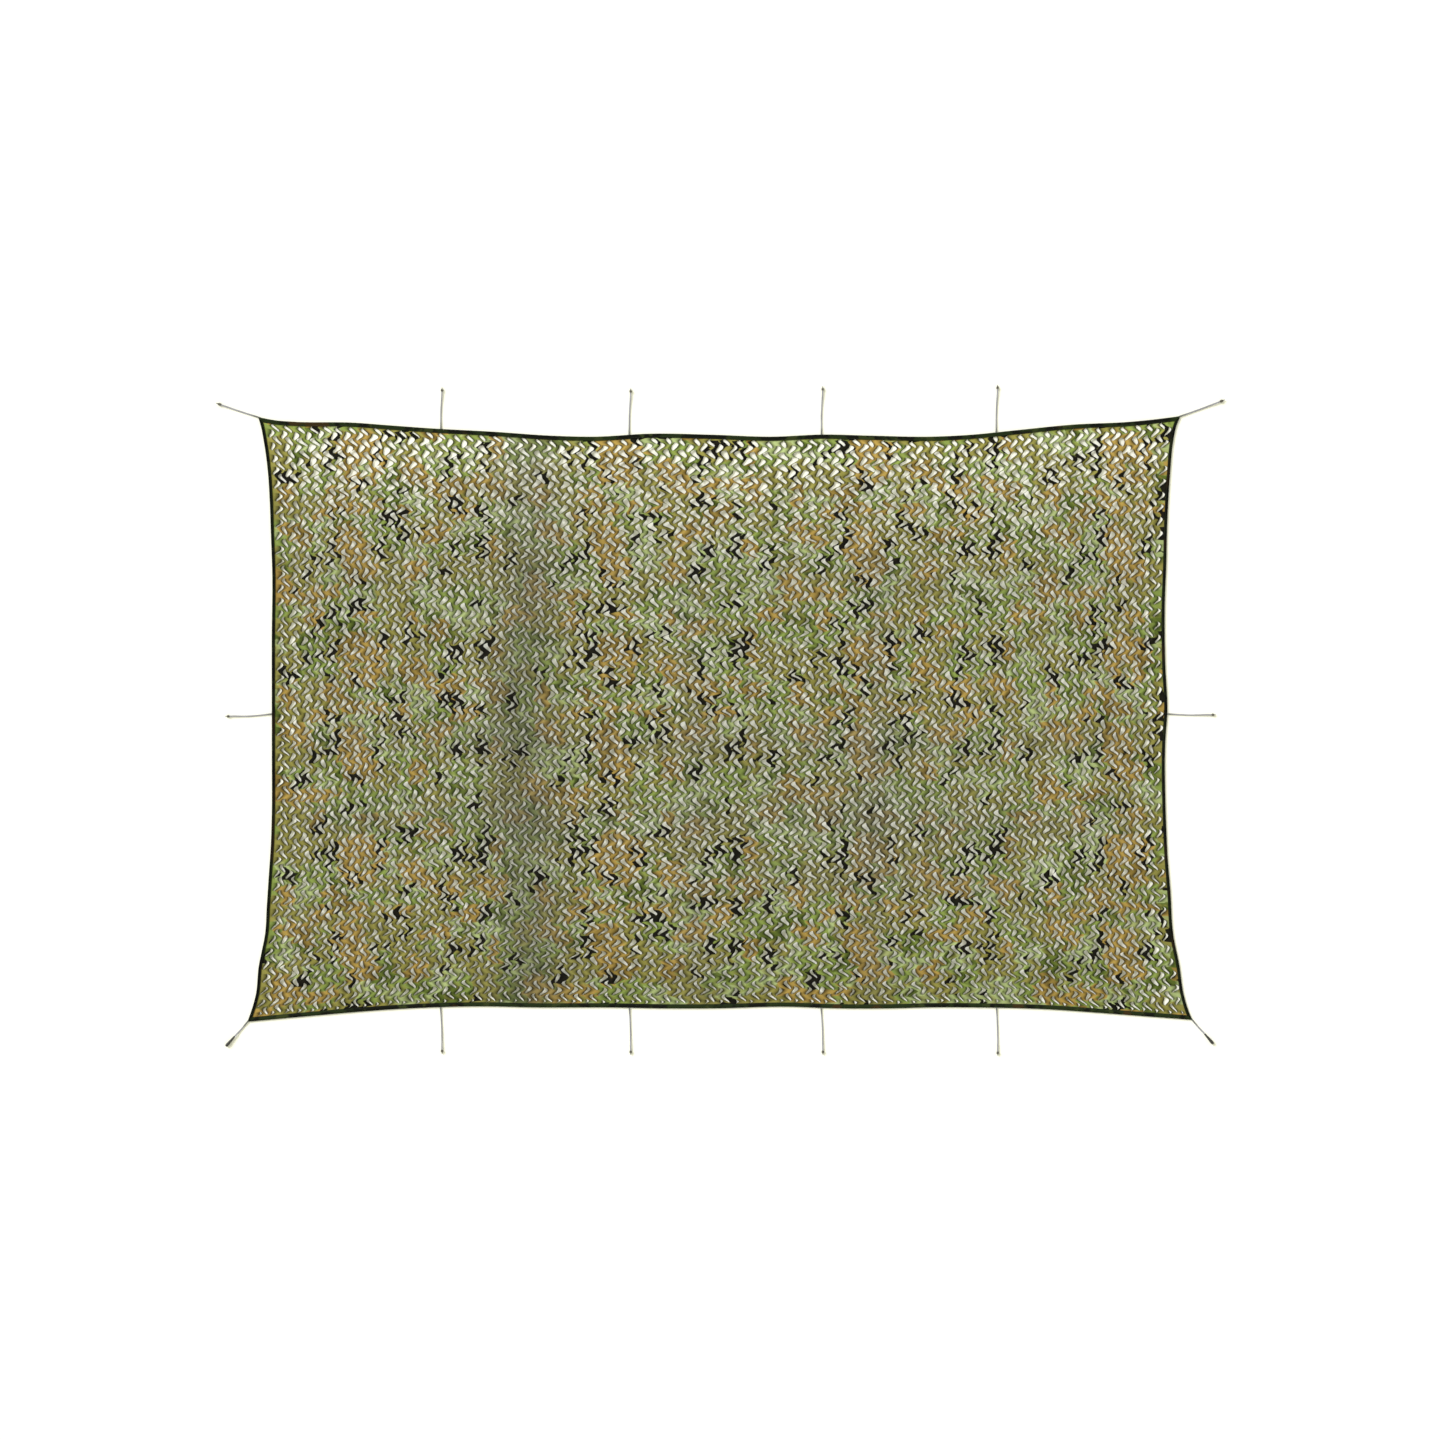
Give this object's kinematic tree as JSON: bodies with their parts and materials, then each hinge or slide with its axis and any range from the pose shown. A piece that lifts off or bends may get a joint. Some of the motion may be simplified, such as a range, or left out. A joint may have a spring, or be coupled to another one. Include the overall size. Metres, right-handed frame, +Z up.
{
  "type": "camouflage net",
  "caption": "Leaf-cut camouflage cloth spread flat, with a folded binding along each side and short knotted ties at its corners and sides.",
  "frame": {"origin": "the middle of the bound net's box, at the height of the surface it lies on", "axes": "X along the long sides, Y across the net from the near side to the far side, Z up out of its face"},
  "size_m": [3.3022, 2.1957, 0.0272],
  "materials": {
    "net_cloth": "coated plain-woven cloth printed in green, brown and black, leaf-cut",
    "binding_cloth": "dark printed cloth folded and sewn",
    "tie_cord": "twisted grey cord",
    "tie_end": "dark knotted or dipped cord end"
  },
  "bodies": {
    "root": {"net": "net_cloth", "binding_far": "binding_cloth", "binding_near": "binding_cloth", "binding_left": "binding_cloth", "binding_right": "binding_cloth", "tie_far_1": "tie_cord", "tie_far_2": "tie_cord", "tie_far_3": "tie_cord", "tie_far_4": "tie_cord", "tie_near_1": "tie_cord", "tie_near_2": "tie_cord", "tie_near_3": "tie_cord", "tie_near_4": "tie_cord", "tie_left": "tie_cord", "tie_right": "tie_cord", "tie_far_left": "tie_cord", "tie_far_right": "tie_cord", "tie_near_left": "tie_cord", "tie_near_right": "tie_cord", "knot_far_1": "tie_end", "knot_far_2": "tie_end", "knot_far_3": "tie_end", "knot_far_4": "tie_end", "knot_near_1": "tie_end", "knot_near_2": "tie_end", "knot_near_3": "tie_end", "knot_near_4": "tie_end", "knot_left": "tie_end", "knot_right": "tie_end", "knot_far_left": "tie_end", "knot_far_right": "tie_end", "knot_near_left": "tie_end", "knot_near_right": "tie_end"}
  },
  "joints": []
}
